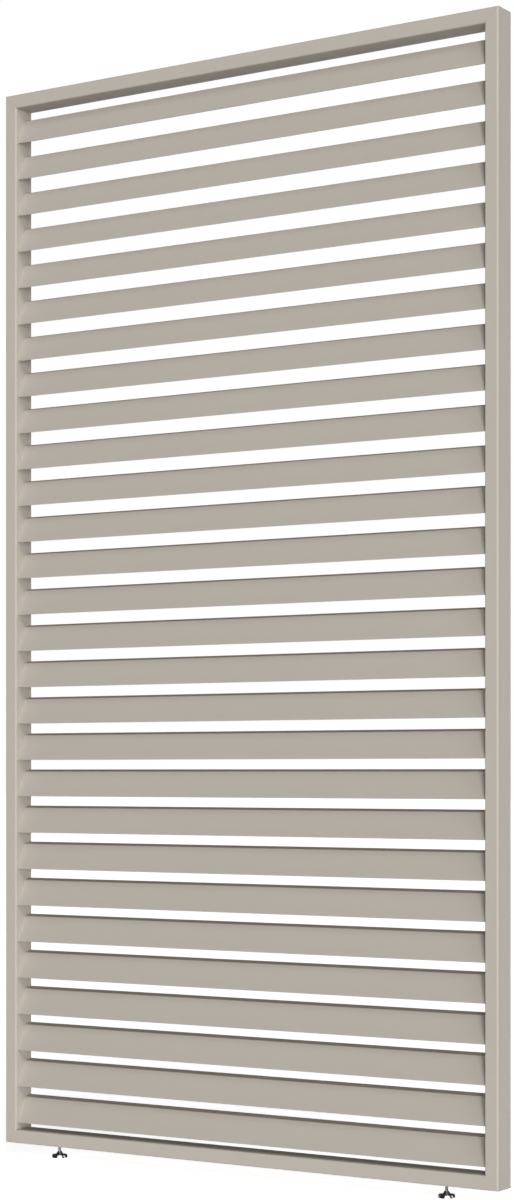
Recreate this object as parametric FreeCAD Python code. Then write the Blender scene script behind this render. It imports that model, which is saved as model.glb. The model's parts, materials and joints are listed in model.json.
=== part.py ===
import FreeCAD, Part
import math
import os

V = FreeCAD.Vector
UP = V(0, 0, 1)

# Louvred shutter panel in millimetres. +Z is up, +X to the right seen from the front, and the front looks
# along -Y. The origin is on the floor, under the middle of the panel.

# Frame, one stock tube mitred at the four corners
panel_width = 1100.0
frame_height = 2079.0
tube_face = 26.6
tube_depth = 50.8
tube_wall = 2.0
tube_corner_radius = 3.0

# Louvre blade, a hollow rhomboid: a tall face that leans back and narrow edges that rise to the rear
blade_face = 55.1
blade_edge = 16.3
blade_lean = math.radians(26.4)
blade_edge_rise = math.radians(15.0)
blade_wall = 1.5
blade_edge_break = 0.6

# Row of louvres: clear gaps between blades, under the first one, and the least one over the last
louvre_gap = 18.4
lowest_louvre_gap = 13.0
least_top_gap = 4.0

# Moulded plug in each louvre end, with a tongue that seats in a slot of the stile's inner wall
plug_length = 16.0
plug_clearance = 0.15
tongue_length = 24.0
tongue_thickness = 5.0
tongue_clearance = 0.15

# Corner cleat, a hollow L that fills the tubes round each mitre
cleat_leg = 60.0
cleat_wall = 3.0
cleat_chamfer = 2.0
cleat_clearance = 0.15

# Levelling foot: base with conical hub, soft pad, threaded stud
foot_inset = 116.2
base_radius = 15.0
base_rim_height = 6.0
base_edge_break = 0.8
base_slope_height = 0.8
hub_foot_radius = 7.2
hub_top_radius = 4.0
hub_height = 5.2
hub_bore_depth = 7.5
hub_lip_height = 1.2
pad_radius = 12.5
pad_thickness = 2.0
pad_proud = 0.5
pad_clearance = 0.1
stud_radius = 3.0
stud_show = 12.0
stud_head_room = 7.0
stud_neck_depth = 0.7
stud_neck_show = 1.0
stud_flat_width = 5.0
stud_flat_height = 4.0
stud_flat_lift = 0.5
running_clearance = 0.05
thrust_clearance = 0.1

# Rivet nut in the bottom rail that the stud screws through, six-sided so that it can't turn in its hole
insert_flange_radius = 6.5
insert_flange_height = 1.2
insert_barrel_flats = 9.0
insert_barrel_length = 10.0
insert_collar_flats = 11.0
insert_collar_height = 3.0
insert_clearance = 0.05

# Levels and places worked out from the sizes above
hub_top = pad_proud + base_rim_height + base_slope_height + hub_height
frame_bottom = hub_top + stud_show
frame_top = frame_bottom + frame_height
frame_half = panel_width / 2
opening_half = frame_half - tube_face
opening_bottom = frame_bottom + tube_face
opening_top = frame_top - tube_face
foot_x = frame_half - foot_inset

# Length of a cut through one tube wall, a wall's thickness clear on both sides
wall_cut = 3 * tube_wall

blade_along = V(0, math.sin(blade_lean), math.cos(blade_lean))
blade_across = V(0, math.cos(blade_edge_rise), math.sin(blade_edge_rise))
blade_angle = blade_along.getAngle(blade_across)
blade_span = blade_along * blade_face + blade_across * blade_edge
louvre_pitch = blade_span.z + louvre_gap
lowest_louvre = opening_bottom + lowest_louvre_gap
louvre_room = opening_top - least_top_gap - blade_span.z - lowest_louvre
louvre_count = math.floor(louvre_room / louvre_pitch) + 1


def corner_sides(corners):
    """Each corner with its unit directions to the last corner and to the next one."""
    for index, corner in enumerate(corners):
        to_last = (corners[index - 1] - corner).normalize()
        to_next = (corners[(index + 1) % len(corners)] - corner).normalize()
        yield corner, to_last, to_next


def rounded_outline(corners, radius):
    """Closed wire through the corners, each one rounded by an arc."""
    arcs = []
    for corner, to_last, to_next in corner_sides(corners):
        half_angle = to_last.getAngle(to_next) / 2
        reach = radius / math.tan(half_angle)
        bisector = (to_last + to_next).normalize()
        middle = corner + bisector * (radius / math.sin(half_angle) - radius)
        arcs.append((corner + to_last * reach, middle, corner + to_next * reach))
    edges = []
    for index, (start, middle, end) in enumerate(arcs):
        edges.append(Part.Arc(start, middle, end).toShape())
        next_start = arcs[(index + 1) % len(arcs)][0]
        edges.append(Part.LineSegment(end, next_start).toShape())
    return Part.Wire(edges)


def sharp_outline(corners):
    return Part.makePolygon(corners + [corners[0]])


def broken_outline(corners, cut):
    """Closed wire through the corners, each one cut off by the same length along both of its sides."""
    points = []
    for corner, to_last, to_next in corner_sides(corners):
        points += [corner + to_last * cut, corner + to_next * cut]
    return sharp_outline(points)


def prism(corners, length):
    return Part.Face(sharp_outline(corners)).extrude(length)


def hollow_prism(outer_wire, inner_wire, length):
    return Part.Face(outer_wire).cut(Part.Face(inner_wire)).Faces[0].extrude(length)


def revolved(profile, x):
    """Solid of revolution about the upright axis at x, from (radius, height) points."""
    corners = [V(radius, 0, height) for radius, height in profile]
    turned = Part.Face(sharp_outline(corners)).revolve(V(0, 0, 0), UP, 360)
    turned.translate(V(x, 0, 0))
    return turned


def rectangle(across, deep, half_across, half_deep, centre):
    return [
        centre - across * half_across - deep * half_deep,
        centre + across * half_across - deep * half_deep,
        centre + across * half_across + deep * half_deep,
        centre - across * half_across + deep * half_deep,
    ]


def hexagon(x, level, flats):
    """Corners of a level hexagon round the upright axis at x, with its size across the flats."""
    radius = flats / math.sqrt(3)
    corners = []
    for index in range(6):
        angle = index * math.pi / 3
        corners.append(V(x + radius * math.cos(angle), radius * math.sin(angle), level))
    return corners


def frame_tube(start, across, length):
    """Straight frame tube from start, with its narrow side along across and its depth along Y."""
    half_face = tube_face / 2
    half_depth = tube_depth / 2
    outside = rectangle(across, V(0, 1, 0), half_face, half_depth, start)
    inside = rectangle(across, V(0, 1, 0), half_face - tube_wall, half_depth - tube_wall, start)
    return hollow_prism(rounded_outline(outside, tube_corner_radius), sharp_outline(inside), length)


def mitre_trim(corners):
    """Prism with mitred ends that a tube is trimmed to, through the whole depth of the frame."""
    front = V(0, -tube_depth / 2, 0)
    return prism([corner + front for corner in corners], V(0, tube_depth, 0))


def blade_corners(x, base, inset):
    """Corners of the blade's rhomboid section at x, moved in from every face by inset."""
    shift = inset / math.sin(blade_angle)
    front_low = V(x, -blade_span.y / 2, base)
    along = blade_along * (blade_face - 2 * shift)
    across = blade_across * (blade_edge - 2 * shift)
    first = front_low + (blade_along + blade_across) * shift
    return [first, first + across, first + across + along, first + along]


def tongue_corners(x, base, clearance):
    """Rectangle of a plug's tongue at x, leaning with the blade and centred in it."""
    centre = V(x, 0, base + blade_span.z / 2)
    square_across = V(0, math.cos(blade_lean), -math.sin(blade_lean))
    half_thickness = tongue_thickness / 2 + clearance
    half_length = tongue_length / 2 + clearance
    return rectangle(square_across, blade_along, half_thickness, half_length, centre)


def louvre_base(index):
    return lowest_louvre + index * louvre_pitch


def louvre(index):
    base = louvre_base(index)
    outer = broken_outline(blade_corners(-opening_half, base, 0), blade_edge_break)
    inner = sharp_outline(blade_corners(-opening_half, base, blade_wall))
    return hollow_prism(outer, inner, V(2 * opening_half, 0, 0))


def end_plug(index, side):
    """Plug in a louvre's end, with its tongue. side is -1 at the left stile and 1 at the right one."""
    base = louvre_base(index)
    x = side * opening_half
    inward = V(-side, 0, 0)
    body = prism(blade_corners(x, base, blade_wall + plug_clearance), inward * plug_length)
    tongue = prism(tongue_corners(x, base, 0), inward * -tube_wall)
    return body.fuse(tongue).removeSplitter().Solids[0]


def stile(side):
    """Upright tube, mitred at both ends, with a slot in its inner wall for each plug's tongue."""
    x = side * (frame_half - tube_face / 2)
    tube = frame_tube(V(x, 0, frame_bottom), V(side, 0, 0), UP * frame_height)
    trim = mitre_trim([
        V(side * frame_half, 0, frame_bottom),
        V(side * opening_half, 0, opening_bottom),
        V(side * opening_half, 0, opening_top),
        V(side * frame_half, 0, frame_top),
    ])
    slot_start = side * (opening_half - tube_wall)
    slots = []
    for index in range(louvre_count):
        corners = tongue_corners(slot_start, louvre_base(index), tongue_clearance)
        slots.append(prism(corners, V(side * wall_cut, 0, 0)))
    return tube.common(trim).cut(Part.makeCompound(slots))


def rail(outer_level, inner_level):
    """Level tube, mitred at both ends."""
    middle = (outer_level + inner_level) / 2
    tube = frame_tube(V(-frame_half, 0, middle), UP, V(panel_width, 0, 0))
    trim = mitre_trim([
        V(-frame_half, 0, outer_level),
        V(frame_half, 0, outer_level),
        V(opening_half, 0, inner_level),
        V(-opening_half, 0, inner_level),
    ])
    return tube.common(trim)


def bottom_rail():
    """Lower rail, with a six-sided hole in its lower wall for each rivet nut."""
    hole_flats = insert_barrel_flats + 2 * insert_clearance
    holes = []
    for x in (-foot_x, foot_x):
        holes.append(prism(hexagon(x, frame_bottom - tube_wall, hole_flats), UP * wall_cut))
    return rail(frame_bottom, opening_bottom).cut(Part.makeCompound(holes))


def corner_cleat(side, corner_level, upward):
    """Hollow L in one corner. upward is 1 for a lower corner and -1 for an upper one."""
    width = tube_face - 2 * tube_wall - 2 * cleat_clearance
    edge = tube_wall + cleat_clearance
    half_depth = tube_depth / 2 - edge
    outline = [
        (0, 0),
        (cleat_leg - cleat_chamfer, 0), (cleat_leg, cleat_chamfer),
        (cleat_leg, width - cleat_chamfer), (cleat_leg - cleat_chamfer, width),
        (width, width),
        (width, cleat_leg - cleat_chamfer), (width - cleat_chamfer, cleat_leg),
        (cleat_chamfer, cleat_leg), (0, cleat_leg - cleat_chamfer),
    ]
    hollow = [
        (width, cleat_wall), (cleat_leg - cleat_wall, cleat_wall),
        (cleat_leg - cleat_wall, width - cleat_wall), (width, width - cleat_wall),
    ]

    def placed(points):
        return [
            V(side * (frame_half - edge - across), -half_depth, corner_level + upward * (edge + rise))
            for across, rise in points
        ]

    through = V(0, 2 * half_depth, 0)
    body = prism(placed(outline), through)
    rail_hollow = prism(placed(hollow), through)
    stile_hollow = prism(placed([(rise, across) for across, rise in hollow]), through)
    return body.cut(rail_hollow).cut(stile_hollow)


def stud_levels():
    """Levels of the stud's foot, of the lower and upper ends of its neck, and of its tip."""
    foot = hub_top - hub_bore_depth + thrust_clearance
    neck_bottom = hub_top - hub_lip_height - thrust_clearance
    tip = opening_bottom - tube_wall - stud_head_room
    return foot, neck_bottom, hub_top + stud_neck_show, tip


def foot_base(x):
    """Turned disc with a conical hub, a recess for the pad, and a lip rolled in round the stud's neck."""
    bottom = pad_proud
    rim_top = bottom + base_rim_height
    recess_radius = pad_radius + pad_clearance
    bore_radius = stud_radius + running_clearance
    lip_radius = bore_radius - stud_neck_depth
    return revolved([
        (0, pad_thickness),
        (recess_radius, pad_thickness),
        (recess_radius, bottom),
        (base_radius, bottom),
        (base_radius, rim_top - base_edge_break),
        (base_radius - base_edge_break, rim_top),
        (hub_foot_radius, rim_top + base_slope_height),
        (hub_top_radius, hub_top),
        (lip_radius, hub_top),
        (lip_radius, hub_top - hub_lip_height),
        (bore_radius, hub_top - hub_lip_height),
        (bore_radius, hub_top - hub_bore_depth),
        (0, hub_top - hub_bore_depth),
    ], x)


def foot_pad(x):
    return Part.makeCylinder(pad_radius, pad_thickness, V(x, 0, 0))


def foot_stud(x):
    """Stem with a neck at its foot and two spanner flats over the hub."""
    foot, neck_bottom, neck_top, tip = stud_levels()
    neck_radius = stud_radius - stud_neck_depth
    stem = revolved([
        (0, foot),
        (stud_radius, foot),
        (stud_radius, neck_bottom),
        (neck_radius, neck_bottom),
        (neck_radius, neck_top),
        (stud_radius, neck_top),
        (stud_radius, tip),
        (0, tip),
    ], x)
    flats = []
    for side in (-1, 1):
        near = V(x - stud_radius, side * stud_flat_width / 2, neck_top + stud_flat_lift)
        far = V(2 * stud_radius, 0, 0)
        out = V(0, side * stud_radius, 0)
        flats.append(prism([near, near + far, near + far + out, near + out], UP * stud_flat_height))
    return stem.cut(Part.makeCompound(flats))


def threaded_insert(x):
    """Rivet nut: flange under the rail's lower wall, barrel through it and a collar set against it above."""
    bottom = frame_bottom - insert_flange_height
    wall_top = frame_bottom + tube_wall
    flange = Part.makeCylinder(insert_flange_radius, insert_flange_height, V(x, 0, bottom))
    barrel_height = tube_wall + insert_barrel_length
    barrel = prism(hexagon(x, frame_bottom, insert_barrel_flats), UP * barrel_height)
    collar = prism(hexagon(x, wall_top, insert_collar_flats), UP * insert_collar_height)
    bore_length = insert_flange_height + barrel_height
    bore = Part.makeCylinder(stud_radius + running_clearance, bore_length, V(x, 0, bottom))
    return flange.fuse([barrel, collar]).cut(bore).removeSplitter().Solids[0]


def all_pieces():
    """Every node's shape by name."""
    pieces = {
        "top_rail": rail(frame_top, opening_top),
        "bottom_rail": bottom_rail(),
    }
    for name, side in (("left", -1), ("right", 1)):
        pieces[f"{name}_stile"] = stile(side)
        pieces[f"bottom_{name}_corner_cleat"] = corner_cleat(side, frame_bottom, 1)
        pieces[f"top_{name}_corner_cleat"] = corner_cleat(side, frame_top, -1)
        plugs = [end_plug(index, side) for index in range(louvre_count)]
        pieces[f"{name}_louvre_plugs"] = Part.makeCompound(plugs)
        pieces[f"{name}_foot_base"] = foot_base(side * foot_x)
        pieces[f"{name}_foot_pad"] = foot_pad(side * foot_x)
        pieces[f"{name}_foot_stud"] = foot_stud(side * foot_x)
        pieces[f"{name}_threaded_insert"] = threaded_insert(side * foot_x)
    for index in range(louvre_count):
        pieces[f"louvre_{index + 1:02d}"] = louvre(index)
    return pieces


os.makedirs("parts", exist_ok=True)
for node, shape in all_pieces().items():
    shape.exportStep(f"parts/{node}.step")
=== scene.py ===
import json
import math

import bpy
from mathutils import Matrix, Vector

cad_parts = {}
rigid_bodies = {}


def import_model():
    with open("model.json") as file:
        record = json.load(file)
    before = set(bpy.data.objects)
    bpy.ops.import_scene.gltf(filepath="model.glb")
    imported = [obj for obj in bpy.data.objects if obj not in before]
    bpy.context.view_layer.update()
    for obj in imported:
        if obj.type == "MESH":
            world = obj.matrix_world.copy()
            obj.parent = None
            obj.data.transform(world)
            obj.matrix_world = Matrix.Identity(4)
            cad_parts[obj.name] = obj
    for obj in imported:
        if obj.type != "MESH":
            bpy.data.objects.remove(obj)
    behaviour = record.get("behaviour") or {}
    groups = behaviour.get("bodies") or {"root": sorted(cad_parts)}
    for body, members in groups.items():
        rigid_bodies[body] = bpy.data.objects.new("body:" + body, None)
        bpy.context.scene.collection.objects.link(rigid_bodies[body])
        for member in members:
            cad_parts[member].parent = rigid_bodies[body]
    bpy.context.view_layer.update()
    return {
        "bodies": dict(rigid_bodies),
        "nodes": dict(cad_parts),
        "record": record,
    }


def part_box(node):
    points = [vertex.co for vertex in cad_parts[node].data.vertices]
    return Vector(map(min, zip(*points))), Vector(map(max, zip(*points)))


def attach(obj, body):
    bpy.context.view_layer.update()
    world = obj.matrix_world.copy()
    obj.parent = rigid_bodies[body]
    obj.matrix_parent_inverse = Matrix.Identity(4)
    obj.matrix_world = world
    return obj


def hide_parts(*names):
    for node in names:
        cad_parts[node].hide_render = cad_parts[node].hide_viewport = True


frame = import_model()

# Louvred shutter panel, dressed for its picture. Sizes are in metres, colours in linear light.
mm = 0.001

# Camera, level, with the horizon below the middle of the picture
photo_height = 1200
photo_horizon = 772.1
camera_place = Vector((2.6114, -3.9749, 0.7600))
camera_turn = math.radians(33.0)
lens_length = 75.94

# Lamps as (azimuth, elevation, strength), with azimuths from the front towards the right, in degrees
front_lamps = [(40, 5, 1.20), (40, -12, 1.22), (40, 45, 0.54), (70, 25, 0.64), (15, 5, 0.46)]
rear_lamp = (180, 0, 1.4)
left_lamp = (268, -7, 1.6)
lamp_spread = math.radians(20)
fill_colour = (0.012, 0.012, 0.012, 1)
white = (1, 1, 1, 1)
black = (0, 0, 0, 1)

# Stage: a pale floor, and dark drapes and cards that only reflections see, which paint dark reflections into
# the chrome and the coat
floor_half = 60.0
floor_colour = (0.85, 0.85, 0.85, 1)
floor_glow = (0.85, 0.85, 0.85, 1)
drape_radius = 9.0
drape_height = 25.0
drape_weave = 0.225
# Colours of the painted dark reflections
drape_light = (0.070, 0.070, 0.074, 1)
drape_dark = (0.050, 0.050, 0.054, 1)
near_card_radius = 0.06
far_card_radius = 0.5
card_lift = 0.1 * mm
ring_sides = 120

# Openings in the drapes and cards, from azimuth to azimuth in degrees
lamp_openings = [(8, 66), (86, 105)]
rear_openings = [(150, 180), (-180, -84)]

# Powder coat
coat_tone = (0.479, 0.440, 0.392, 1)
coat_shade = (0.462, 0.424, 0.377, 1)
coat_drift = 0.4
coat_roughness = 0.55
coat_roughness_spread = 0.1
coat_specular = 0.18
coat_grain = 0.3 * mm
peel_size = 1.5 * mm
peel_depth = 0.05 * mm
peel_share = 0.65
seam_width = 0.25 * mm
seam_depth = 0.12 * mm
seam_cover = 0.6
seam_colour = (0.20, 0.18, 0.16, 1)

# Polished chrome
chrome_colour = (0.80, 0.80, 0.81, 1)
chrome_roughness = 0.04
haze_roughness = 0.06
haze_size = 4.0 * mm
haze_octaves = 4
ripple_size = 1.5 * mm
ripple_depth = 0.002 * mm

# Bare metals, with the size of their cloudy patches
mill_light = (0.74, 0.75, 0.76, 1)
mill_dark = (0.62, 0.63, 0.64, 1)
zinc_light = (0.56, 0.56, 0.56, 1)
zinc_dark = (0.42, 0.42, 0.43, 1)
cleat_roughness = 0.3
insert_roughness = 0.28
stud_roughness = 0.2
cleat_patch = 6.0 * mm
steel_patch = 3.0 * mm
metal_octaves = 5
metal_grains_per_patch = 6
metal_grain_depth = 0.01 * mm

# Moulded plastic and rubber, with the size of their cloudy patches
plastic_light = (0.41, 0.38, 0.34, 1)
plastic_dark = (0.38, 0.35, 0.315, 1)
rubber_light = (0.045, 0.045, 0.045, 1)
rubber_dark = (0.025, 0.025, 0.025, 1)
plug_roughness = 0.55
pad_roughness = 0.7
plug_patch = 3.0 * mm
pad_patch = 2.0 * mm
moulded_octaves = 4
moulded_grains_per_patch = 4
moulded_grain_depth = 0.03 * mm

# All finishes: octaves of plain noise, and how much rougher cloudy patches get
noise_octaves = 2
patch_roughness = 0.15

# Turned pieces
lathe_sides = 96
rounding_steps = 3
rounded_angle = math.radians(25)
crease_angle = math.radians(35)
merge_distance = 0.002 * mm

# Levelling foot, with its overall sizes taken from the frame
base_rim_height = 6.0 * mm
base_edge = 0.8 * mm
base_slope_height = 0.8 * mm
base_bevel = 0.3 * mm
hub_foot_radius = 7.2 * mm
hub_top_radius = 4.0 * mm
hub_lip_height = 1.2 * mm
pad_clearance = 0.1 * mm
pad_middle_radius = 2.0 * mm
pad_groove_radii = (4.0 * mm, 7.0 * mm, 10.0 * mm)
pad_groove_width = 0.8 * mm
pad_groove_depth = 0.5 * mm
pad_bevel = 0.2 * mm

# Threaded stud
running_clearance = 0.05 * mm
thrust_clearance = 0.1 * mm
neck_depth = 0.7 * mm
neck_show = 1.0 * mm
flats_lift = 0.5 * mm
flats_height = 4.0 * mm
flats_width = 5.0 * mm
crest_clearance = 0.03 * mm
thread_pitch = 1.0 * mm
thread_depth = 0.57 * mm
thread_sink = 0.05 * mm
thread_crest_width = 0.14 * mm
thread_foot_width = 0.86 * mm
thread_steps = 32
thread_corners = 4
tip_chamfer = 0.7 * mm


class Value:
    """A shader socket that takes part in sums, products and comparisons."""

    def __init__(self, tree, socket):
        self.tree = tree
        self.socket = socket

    def maths(self, operation, first, second):
        return self.tree.node("ShaderNodeMath", {"operation": operation}, {0: first, 1: second})

    def __add__(self, other):
        return self.maths("ADD", self, other)

    def __radd__(self, other):
        return self.maths("ADD", other, self)

    def __sub__(self, other):
        return self.maths("SUBTRACT", self, other)

    def __rsub__(self, other):
        return self.maths("SUBTRACT", other, self)

    def __mul__(self, other):
        return self.maths("MULTIPLY", self, other)

    def __rmul__(self, other):
        return self.maths("MULTIPLY", other, self)

    def __truediv__(self, other):
        return self.maths("DIVIDE", self, other)

    def __rtruediv__(self, other):
        return self.maths("DIVIDE", other, self)

    def __abs__(self):
        return self.maths("ABSOLUTE", self, 0)

    def least(self, other):
        return self.maths("MINIMUM", self, other)

    def most(self, other):
        return self.maths("MAXIMUM", self, other)


class Nodes:
    """A node tree with one way to add any node."""

    # Places of a mix node's colour sockets, which share their names with its other sockets
    first_colour = 6
    second_colour = 7
    mixed_colour = 2

    def __init__(self, tree):
        self.tree = tree

    def feed(self, socket, value):
        if isinstance(value, Value):
            self.tree.links.new(value.socket, socket)
        else:
            socket.default_value = value

    def node(self, kind, settings=None, sockets=None, output=0):
        """Adds a node, sets it up, feeds its inputs and gives one of its outputs."""
        made = self.tree.nodes.new(kind)
        for name, value in (settings or {}).items():
            setattr(made, name, value)
        for name, value in (sockets or {}).items():
            self.feed(made.inputs[name], value)
        return Value(self, made.outputs[output])

    def place(self):
        return self.node("ShaderNodeTexCoord", output="Object")

    def place_along(self, axis):
        return self.node("ShaderNodeSeparateXYZ", None, {"Vector": self.place()}, axis)

    def noise(self, size, octaves=noise_octaves):
        """Noise from 0 to 1 over the surface, with features of about that size."""
        sockets = {"Vector": self.place(), "Scale": 1 / size, "Detail": octaves}
        return self.node("ShaderNodeTexNoise", None, sockets, "Fac")

    def mix(self, share, first, second):
        """Colour between the first one and the second one."""
        sockets = {0: share, self.first_colour: first, self.second_colour: second}
        return self.node("ShaderNodeMix", {"data_type": "RGBA"}, sockets, self.mixed_colour)

    def bump(self, height, depth):
        """Surface normal of a relief with that greatest depth."""
        return self.node("ShaderNodeBump", None, {"Strength": 1.0, "Distance": depth, "Height": height})


class Finish(Nodes):
    """A material made of nodes round one principled shader."""

    def __init__(self, name):
        self.material = bpy.data.materials.new(name)
        self.material.use_nodes = True
        super().__init__(self.material.node_tree)
        self.shader = self.tree.nodes["Principled BSDF"]

    def surface(self, **sockets):
        for name, value in sockets.items():
            self.feed(self.shader.inputs[name.replace("_", " ")], value)
        return self.material


def mitre_seam(finish):
    """Mask of the hairline where stiles and rails meet, 1 on the line and 0 off it."""
    low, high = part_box("right_stile")
    from_side = high.x - abs(finish.place_along("X"))
    level = finish.place_along("Z")
    upper = abs(from_side - (high.z - level))
    lower = abs(from_side - (level - low.z))
    nearness = 1 - upper.least(lower) / (seam_width * math.sqrt(2))
    return nearness.most(0)


def powder_coat(name, seams):
    """Matte coat with a fine orange peel, and on the frame a hairline at the mitres."""
    finish = Finish(name)
    grain = finish.noise(coat_grain)
    relief = finish.noise(peel_size) * peel_share + grain * (1 - peel_share)
    colour = finish.mix(finish.noise(coat_drift), coat_shade, coat_tone)
    if seams:
        seam = mitre_seam(finish)
        colour = finish.mix(seam * seam_cover, colour, seam_colour)
        relief = relief - seam * (seam_depth / peel_depth)
    return finish.surface(
        Base_Color=colour,
        Roughness=coat_roughness + grain * coat_roughness_spread,
        Specular_IOR_Level=coat_specular,
        Normal=finish.bump(relief, peel_depth),
    )


def polished_chrome(name):
    """Mirror chrome with faint polishing haze."""
    finish = Finish(name)
    haze = finish.noise(haze_size, haze_octaves)
    return finish.surface(
        Base_Color=chrome_colour,
        Metallic=1.0,
        Roughness=chrome_roughness + haze * haze_roughness,
        Normal=finish.bump(finish.noise(ripple_size), ripple_depth),
    )


def bare_metal(name, light, dark, roughness, patch):
    """Uncoated metal with a cloudy surface."""
    finish = Finish(name)
    cloud = finish.noise(patch, metal_octaves)
    return finish.surface(
        Base_Color=finish.mix(cloud, dark, light),
        Metallic=1.0,
        Roughness=roughness + cloud * patch_roughness,
        Normal=finish.bump(finish.noise(patch / metal_grains_per_patch), metal_grain_depth),
    )


def moulded(name, light, dark, roughness, patch):
    """Moulded plastic or rubber with a fine matte grain."""
    finish = Finish(name)
    cloud = finish.noise(patch, moulded_octaves)
    return finish.surface(
        Base_Color=finish.mix(cloud, dark, light),
        Roughness=roughness + cloud * patch_roughness,
        Normal=finish.bump(finish.noise(patch / moulded_grains_per_patch), moulded_grain_depth),
    )


def all_finishes():
    """Material of each slot in the record."""
    cleat = bare_metal("cleat_aluminium", mill_light, mill_dark, cleat_roughness, cleat_patch)
    insert = bare_metal("insert_steel", zinc_light, zinc_dark, insert_roughness, steel_patch)
    stud = bare_metal("stud_steel", zinc_light, zinc_dark, stud_roughness, steel_patch)
    plug = moulded("plug_plastic", plastic_light, plastic_dark, plug_roughness, plug_patch)
    pad = moulded("pad_rubber", rubber_light, rubber_dark, pad_roughness, pad_patch)
    return {
        "frame_coat": powder_coat("frame_coat", True),
        "louvre_coat": powder_coat("louvre_coat", False),
        "cleat_aluminium": cleat,
        "plug_plastic": plug,
        "insert_steel": insert,
        "foot_chrome": polished_chrome("polished_chrome"),
        "stud_steel": stud,
        "pad_rubber": pad,
    }


def coat_frame_nodes(finishes):
    """Gives each node of the frame the material of its slot."""
    for row in frame["record"]["subparts"]:
        node = frame["nodes"][row["node"]]
        for slot in node.material_slots:
            slot.material = finishes[row["material_slot"]]


def pick(piece):
    """Makes the piece the one that operators act on."""
    bpy.ops.object.select_all(action="DESELECT")
    piece.select_set(True)
    bpy.context.view_layer.objects.active = piece


def apply_modifiers(piece):
    pick(piece)
    for modifier in list(piece.modifiers):
        bpy.ops.object.modifier_apply(modifier=modifier.name)


def bevelled(piece, width):
    """The piece with its sharp edges rounded off and its flat faces kept flat to the light."""
    pick(piece)
    bpy.ops.object.shade_smooth()
    bevel = piece.modifiers.new("rounding", "BEVEL")
    bevel.width = width
    bevel.segments = rounding_steps
    bevel.limit_method = "ANGLE"
    bevel.angle_limit = rounded_angle
    bevel.harden_normals = True
    apply_modifiers(piece)
    return piece


def turned(name, profile):
    """A closed piece turned on the upright axis, drawn out from point to point of (radius, height)."""
    bpy.ops.object.select_all(action="DESELECT")
    radius, height = profile[0]
    bpy.ops.mesh.primitive_circle_add(vertices=lathe_sides, radius=radius, fill_type="NGON")
    piece = bpy.context.object
    piece.name = name
    bpy.ops.object.mode_set(mode="EDIT")
    bpy.ops.mesh.select_all(action="SELECT")
    bpy.ops.transform.translate(value=(0, 0, height))
    for next_radius, next_height in profile[1:]:
        rise = (0, 0, next_height - height)
        bpy.ops.mesh.extrude_region_move(TRANSFORM_OT_translate={"value": rise})
        share = next_radius / radius
        bpy.ops.transform.resize(value=(share, share, 1), center_override=(0, 0, next_height))
        radius, height = next_radius, next_height
    bpy.ops.mesh.select_all(action="SELECT")
    bpy.ops.mesh.normals_make_consistent(inside=False)
    bpy.ops.object.mode_set(mode="OBJECT")
    return piece


def merged(piece):
    """The piece with corners that lie together made one, and the thread's open ends closed."""
    pick(piece)
    bpy.ops.object.mode_set(mode="EDIT")
    bpy.ops.mesh.select_all(action="SELECT")
    bpy.ops.mesh.remove_doubles(threshold=merge_distance)
    bpy.ops.mesh.dissolve_degenerate(threshold=merge_distance)
    bpy.ops.mesh.fill_holes(sides=thread_corners)
    bpy.ops.mesh.select_all(action="SELECT")
    bpy.ops.mesh.normals_make_consistent(inside=False)
    bpy.ops.object.mode_set(mode="OBJECT")
    return piece


def round_size(node):
    """Radius, lowest level and highest level of an upright round node."""
    low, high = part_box(node)
    return (high.x - low.x) / 2, low.z, high.z


def foot_base():
    """Chromed disc with a conical hub, hollowed below for the pad and bored for the stud."""
    radius, bottom, top = round_size("left_foot_base")
    pad_radius, _, pad_top = round_size("left_foot_pad")
    stud_radius, stud_bottom, _ = round_size("left_foot_stud")
    recess_radius = pad_radius + pad_clearance
    rim_top = bottom + base_rim_height
    bore_radius = stud_radius + running_clearance
    lip_radius = bore_radius - neck_depth
    piece = turned("foot_base", [
        (recess_radius, pad_top),
        (recess_radius, bottom),
        (radius, bottom),
        (radius, rim_top - base_edge),
        (radius - base_edge, rim_top),
        (hub_foot_radius, rim_top + base_slope_height),
        (hub_top_radius, top),
        (lip_radius, top),
        (lip_radius, top - hub_lip_height),
        (bore_radius, top - hub_lip_height),
        (bore_radius, stud_bottom - thrust_clearance),
    ])
    return bevelled(piece, base_bevel)


def foot_pad():
    """Rubber disc with ring grooves in its underside."""
    radius, bottom, top = round_size("left_foot_pad")
    groove_top = bottom + pad_groove_depth
    profile = [(pad_middle_radius, bottom)]
    for inner in pad_groove_radii:
        outer = inner + pad_groove_width
        profile += [(inner, bottom), (inner, groove_top), (outer, groove_top), (outer, bottom)]
    profile += [(radius, bottom), (radius, top)]
    return bevelled(turned("foot_pad", profile), pad_bevel)


def combine(piece, other, operation):
    """The piece joined with the other one, or cut by it. The other one is used up."""
    boolean = piece.modifiers.new("combine", "BOOLEAN")
    boolean.operation = operation
    boolean.solver = "EXACT"
    boolean.object = other
    apply_modifiers(piece)
    bpy.data.objects.remove(other)


def flat_cutter(side, stud_radius, bottom):
    """Block, wider than the stud, that takes one spanner flat off it."""
    centre = (0, side * (flats_width + stud_radius) / 2, bottom + flats_height / 2)
    bpy.ops.object.select_all(action="DESELECT")
    bpy.ops.mesh.primitive_cube_add(size=1, location=centre)
    block = bpy.context.object
    block.scale = (4 * stud_radius, stud_radius, flats_height)
    bpy.ops.object.transform_apply(location=True, rotation=True, scale=True)
    return block


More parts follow.
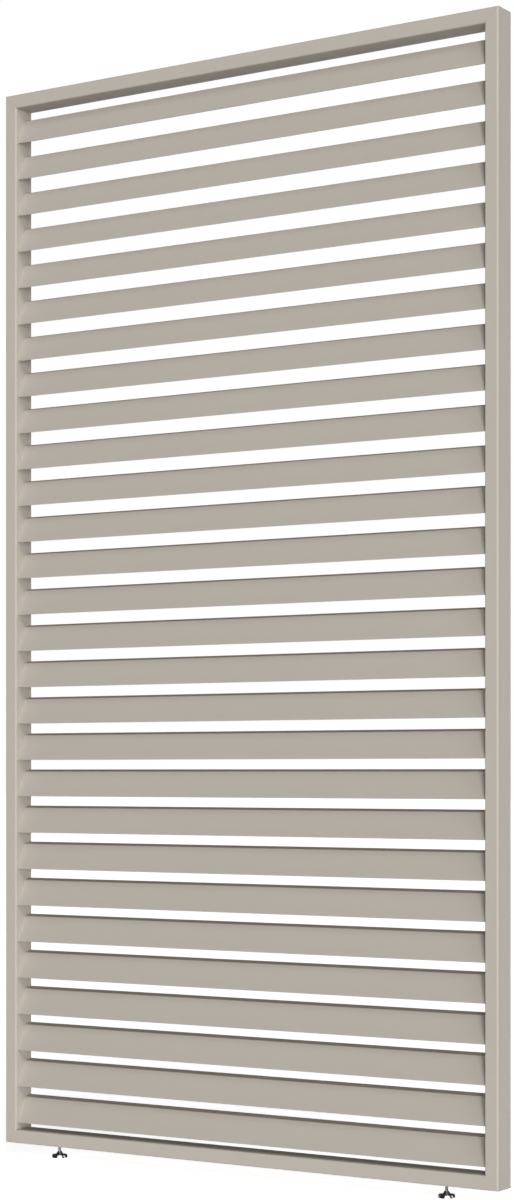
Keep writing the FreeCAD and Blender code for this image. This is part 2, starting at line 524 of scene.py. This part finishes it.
def thread_section(radius, root, middle):
    """Outline of the thread's ridge at its start, with half a lathe side of turn to miss the stud's edges."""
    inner = root - thread_sink
    bpy.ops.object.select_all(action="DESELECT")
    bpy.ops.mesh.primitive_plane_add(size=1, rotation=(math.pi / 2, 0, 0))
    section = bpy.context.object
    bpy.ops.object.transform_apply(location=True, rotation=True, scale=True)
    bpy.ops.object.mode_set(mode="EDIT")
    bpy.ops.mesh.select_all(action="SELECT")
    bpy.ops.transform.resize(value=(radius - inner, 1, thread_foot_width))
    bpy.ops.transform.translate(value=((radius + inner) / 2, 0, middle))
    bpy.ops.mesh.delete(type="ONLY_FACE")
    bpy.ops.object.mode_set(mode="OBJECT")
    for vertex in section.data.vertices:
        vertex.select = vertex.co.x > root
    bpy.ops.object.mode_set(mode="EDIT")
    crest_share = thread_crest_width / thread_foot_width
    bpy.ops.transform.resize(value=(1, 1, crest_share), center_override=(radius, 0, middle))
    bpy.ops.mesh.select_all(action="SELECT")
    bpy.ops.transform.rotate(value=math.pi / lathe_sides, orient_axis="Z", center_override=(0, 0, 0))
    bpy.ops.object.mode_set(mode="OBJECT")
    return section


def thread_ridge(radius, root, bottom, top):
    """Helical ridge of the stud's thread, from inside the shoulder to below the tip's chamfer."""
    ridge = thread_section(radius, root, bottom - thread_pitch / 2)
    screw = ridge.modifiers.new("thread", "SCREW")
    screw.axis = "Z"
    screw.angle = math.tau
    screw.screw_offset = thread_pitch
    screw.iterations = math.floor((top - bottom) / thread_pitch)
    screw.steps = thread_steps
    screw.render_steps = thread_steps
    apply_modifiers(ridge)
    return merged(ridge)


def foot_stud():
    """Threaded stud with a necked foot, a shoulder with two spanner flats, and a chamfered tip."""
    radius, bottom, tip = round_size("left_foot_stud")
    _, _, hub_top = round_size("left_foot_base")
    crest = radius - crest_clearance
    root = crest - thread_depth
    neck_radius = radius - neck_depth
    neck_bottom = hub_top - hub_lip_height - thrust_clearance
    neck_top = hub_top + neck_show
    flats_bottom = neck_top + flats_lift
    shoulder_top = flats_bottom + flats_height + flats_lift
    thread_top = tip - tip_chamfer
    stud = turned("foot_stud", [
        (radius, bottom),
        (radius, neck_bottom),
        (neck_radius, neck_bottom),
        (neck_radius, neck_top),
        (radius, neck_top),
        (radius, shoulder_top),
        (root, shoulder_top),
        (root, thread_top),
        (root - tip_chamfer, tip),
    ])
    for side in (-1, 1):
        combine(stud, flat_cutter(side, radius, flats_bottom), "DIFFERENCE")
    combine(stud, thread_ridge(crest, root, shoulder_top, thread_top), "UNION")
    merged(stud)
    bpy.ops.object.shade_smooth_by_angle(angle=crease_angle)
    return stud


def place_copy(piece, side, body, node, material):
    """A copy of the piece at one foot, with its own mesh, that stands for the plain node there."""
    low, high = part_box(node)
    copy = piece.copy()
    copy.data = piece.data.copy()
    copy.name = f"{side}_{piece.name}_dressed"
    bpy.context.scene.collection.objects.link(copy)
    pick(copy)
    copy.location = ((low.x + high.x) / 2, 0, 0)
    bpy.ops.object.transform_apply(location=True, rotation=True, scale=True)
    copy.data.materials.append(material)
    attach(copy, body)
    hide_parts(node)


def dress_feet(finishes):
    """Models each piece of a foot once and places it at both feet."""
    pieces = [
        (foot_base(), "foot", "foot_base", "foot_chrome"),
        (foot_pad(), "foot", "foot_pad", "pad_rubber"),
        (foot_stud(), "stud", "foot_stud", "stud_steel"),
    ]
    for piece, body, node, slot in pieces:
        for side in ("left", "right"):
            place_copy(piece, side, f"{side}_{body}", f"{side}_{node}", finishes[slot])
        bpy.data.objects.remove(piece)


def white_to_the_eye(nodes):
    """1 for rays that see the background directly, in a mirror or through glass, and 0 for light."""
    kinds = ("Is Camera Ray", "Is Glossy Ray", "Is Transmission Ray")
    seen, in_mirror, through_glass = [nodes.node("ShaderNodeLightPath", output=kind) for kind in kinds]
    return seen.most(in_mirror).most(through_glass)


def keep_under_feet(piece, lift):
    """Lets a piece of the floor sink with the lower foot, so that no foot goes through it."""
    for body in ("left_foot", "right_foot"):
        limit = piece.constraints.new("FLOOR")
        limit.target = frame["bodies"][body]
        limit.floor_location = "FLOOR_NEGATIVE_Z"
        limit.offset = lift


def pale_floor():
    """Wide pale floor that looks white, takes the object's shadow and lets low light through."""
    bpy.ops.object.select_all(action="DESELECT")
    bpy.ops.mesh.primitive_plane_add(size=2 * floor_half)
    floor = bpy.context.object
    floor.name = "floor"
    finish = Finish("pale_floor")
    finish.surface(
        Base_Color=floor_colour,
        Roughness=1.0,
        Specular_IOR_Level=0.0,
        Emission_Color=finish.mix(white_to_the_eye(finish), black, floor_glow),
        Emission_Strength=1.0,
    )
    floor.data.materials.append(finish.material)
    floor.visible_shadow = False
    keep_under_feet(floor, 0)


# Cloth of the drapes and cards, seen only in reflections, where it paints dark reflections
def painted_reflection_cloth():
    finish = Finish("painted_reflection_drape")
    return finish.surface(
        Base_Color=finish.mix(finish.noise(drape_weave), drape_dark, drape_light),
        Roughness=1.0,
        Specular_IOR_Level=0.0,
    )


def open_ring(ring, openings):
    """Cuts openings, given by azimuths in degrees, out of a ring of faces."""
    pick(ring)
    bpy.ops.object.mode_set(mode="EDIT")
    bpy.ops.mesh.select_mode(type="FACE")
    bpy.ops.mesh.select_all(action="DESELECT")
    bpy.ops.object.mode_set(mode="OBJECT")
    for face in ring.data.polygons:
        azimuth = math.degrees(math.atan2(face.center.x, -face.center.y))
        face.select = any(start < azimuth < end for start, end in openings)
    bpy.ops.object.mode_set(mode="EDIT")
    bpy.ops.mesh.delete(type="FACE")
    bpy.ops.mesh.select_mode(type="VERT")
    bpy.ops.object.mode_set(mode="OBJECT")


def show_in_reflections_only(ring, material):
    """Gives a ring of the stage its material and leaves it visible to reflections alone, as a painted dark
    reflection.
    """
    ring.data.materials.append(material)
    ring.visible_camera = False
    ring.visible_diffuse = False
    ring.visible_transmission = False
    ring.visible_shadow = False


def painted_reflection_drapes(cloth):
    """Dark drapes round the studio, open towards the lamps, seen in reflections alone: a painted dark
    reflection.
    """
    bpy.ops.object.select_all(action="DESELECT")
    bpy.ops.mesh.primitive_cylinder_add(
        vertices=ring_sides, radius=drape_radius, depth=drape_height,
        end_fill_type="NOTHING", location=(0, 0, drape_height / 2),
    )
    drapes = bpy.context.object
    drapes.name = "drapes"
    open_ring(drapes, lamp_openings)
    show_in_reflections_only(drapes, cloth)


def painted_reflection_card(name, centre, inner, outer, openings, cloth):
    """Flat dark ring with openings, seen only in reflections as a painted dark reflection."""
    bpy.ops.object.select_all(action="DESELECT")
    bpy.ops.mesh.primitive_circle_add(vertices=ring_sides, radius=outer, fill_type="NGON", location=centre)
    card = bpy.context.object
    card.name = name
    bpy.ops.object.mode_set(mode="EDIT")
    bpy.ops.mesh.select_all(action="SELECT")
    bpy.ops.mesh.inset(thickness=outer - inner)
    bpy.ops.mesh.delete(type="FACE")
    bpy.ops.object.mode_set(mode="OBJECT")
    open_ring(card, openings)
    show_in_reflections_only(card, cloth)
    return card


def painted_reflection_cards(side, cloth):
    """Dark cards round one foot, two on the floor and one under the bottom rail, seen only in reflections:
    painted dark reflections in the chrome foot.
    """
    stud_radius, _, _ = round_size(f"{side}_foot_stud")
    flange_radius, _, _ = round_size(f"{side}_threaded_insert")
    foot_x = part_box(f"{side}_foot_stud")[0].x + stud_radius
    on_floor = (foot_x, 0, card_lift)
    under_rail = (foot_x, 0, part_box("bottom_rail")[0].z - card_lift)
    floor_cards = [
        painted_reflection_card(f"{side}_near_card", on_floor, stud_radius, near_card_radius, lamp_openings, cloth),
        painted_reflection_card(f"{side}_far_card", on_floor, near_card_radius, far_card_radius, rear_openings, cloth),
    ]
    for card in floor_cards:
        keep_under_feet(card, card_lift)
    painted_reflection_card(f"{side}_rail_card", under_rail, flange_radius, near_card_radius, lamp_openings, cloth)


# Drapes and cards that only reflections see: painted dark reflections
def painted_dark_reflections():
    cloth = painted_reflection_cloth()
    painted_reflection_drapes(cloth)
    for side in ("left", "right"):
        painted_reflection_cards(side, cloth)


def soft_lamp(azimuth, elevation, strength):
    """Wide lamp that shines from that azimuth and elevation, in degrees."""
    turn = math.radians(azimuth)
    rise = math.radians(elevation)
    towards = Vector((math.sin(turn) * math.cos(rise), -math.cos(turn) * math.cos(rise), math.sin(rise)))
    bpy.ops.object.light_add(type="SUN", rotation=towards.to_track_quat("Z", "Y").to_euler())
    lamp = bpy.context.object.data
    lamp.angle = lamp_spread
    lamp.energy = strength


def studio_light():
    """Soft lamps round the panel, and a world that is white to look at and dim as light."""
    for azimuth, elevation, strength in front_lamps + [rear_lamp, left_lamp]:
        soft_lamp(azimuth, elevation, strength)
    world = bpy.data.worlds.new("studio")
    bpy.context.scene.world = world
    world.use_nodes = True
    nodes = Nodes(world.node_tree)
    background = world.node_tree.nodes["Background"]
    nodes.feed(background.inputs["Color"], nodes.mix(white_to_the_eye(nodes), fill_colour, white))
    nodes.feed(background.inputs["Strength"], 1.0)


def photo_camera():
    """Level camera whose picture is shifted upwards."""
    bpy.ops.object.camera_add(location=camera_place, rotation=(math.pi / 2, 0, camera_turn))
    camera = bpy.context.object
    camera.data.lens = lens_length
    camera.data.shift_y = (photo_horizon - photo_height / 2) / photo_height
    bpy.context.scene.camera = camera


finishes = all_finishes()
coat_frame_nodes(finishes)
dress_feet(finishes)
pale_floor()
painted_dark_reflections()
studio_light()
photo_camera()
bpy.context.scene.view_settings.view_transform = "Standard"
